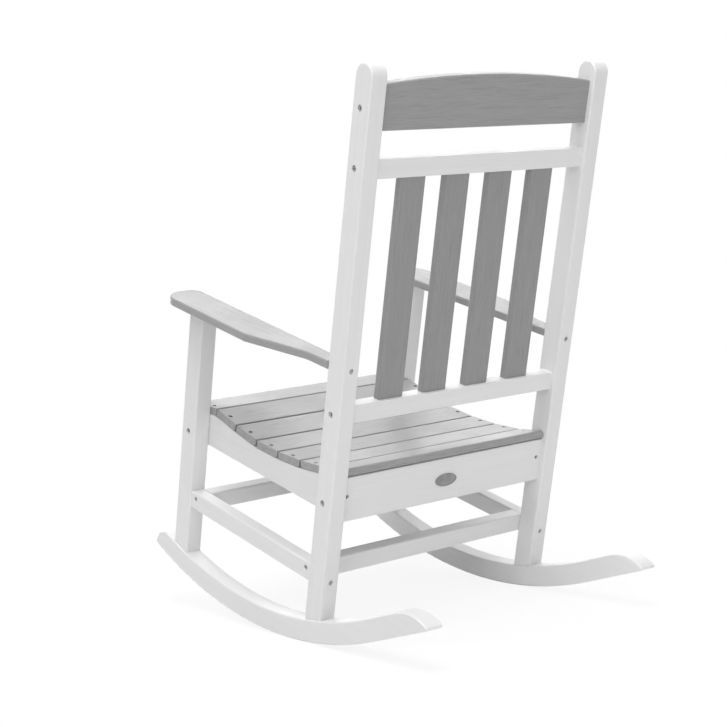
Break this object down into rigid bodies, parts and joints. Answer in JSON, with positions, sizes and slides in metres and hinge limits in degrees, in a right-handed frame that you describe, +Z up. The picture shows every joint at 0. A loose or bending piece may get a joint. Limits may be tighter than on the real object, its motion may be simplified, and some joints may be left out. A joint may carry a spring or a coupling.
{
  "type": "rocking chair",
  "caption": "Porch rocking chair of plastic lumber with vertical back slats, dished slat seat, flat arms and sawn rockers.",
  "frame": {"origin": "midpoint between the two points where the rocker treads touch the floor, at rest on the floor", "axes": "+X to the sitter's left, +Y to the rear, +Z up; the chair stands at the lean at which it balances"},
  "size_m": [0.665, 0.8416, 1.0335],
  "materials": {
    "white_lumber": "white solid plastic lumber, satin, faint extrusion streaks",
    "grey_lumber": "grey solid plastic lumber, satin, embossed wood grain",
    "stainless_fasteners": "stainless steel, dull",
    "dark_plate": "dark grey, satin, blank"
  },
  "bodies": {
    "root": {"arm_left": "grey_lumber", "arm_right": "grey_lumber", "arm_screws": "stainless_fasteners", "arm_studs": "stainless_fasteners", "back_slat_1": "grey_lumber", "back_slat_2": "grey_lumber", "back_slat_3": "grey_lumber", "back_slat_4": "grey_lumber", "crest_board": "grey_lumber", "cross_stretcher_screws": "stainless_fasteners", "front_apron": "white_lumber", "front_leg_left": "white_lumber", "front_leg_right": "white_lumber", "front_stretcher": "white_lumber", "leg_screws": "stainless_fasteners", "lower_back_rail": "white_lumber", "oval_plate": "dark_plate", "plate_pins": "stainless_fasteners", "post_screws": "stainless_fasteners", "rear_apron": "white_lumber", "rear_post_left": "white_lumber", "rear_post_right": "white_lumber", "rear_stretcher": "white_lumber", "rocker_left": "white_lumber", "rocker_right": "white_lumber", "rocker_screws": "stainless_fasteners", "seat_rail_left": "white_lumber", "seat_rail_right": "white_lumber", "seat_rail_screws": "stainless_fasteners", "seat_slat_1": "grey_lumber", "seat_slat_2": "grey_lumber", "seat_slat_3": "grey_lumber", "seat_slat_4": "grey_lumber", "seat_slat_5": "grey_lumber", "seat_slat_6": "grey_lumber", "seat_slat_7": "grey_lumber", "seat_slat_screws": "stainless_fasteners", "side_stretcher_left": "white_lumber", "side_stretcher_right": "white_lumber", "stretcher_end_screws": "stainless_fasteners", "upper_back_rail": "white_lumber"}
  },
  "joints": []
}
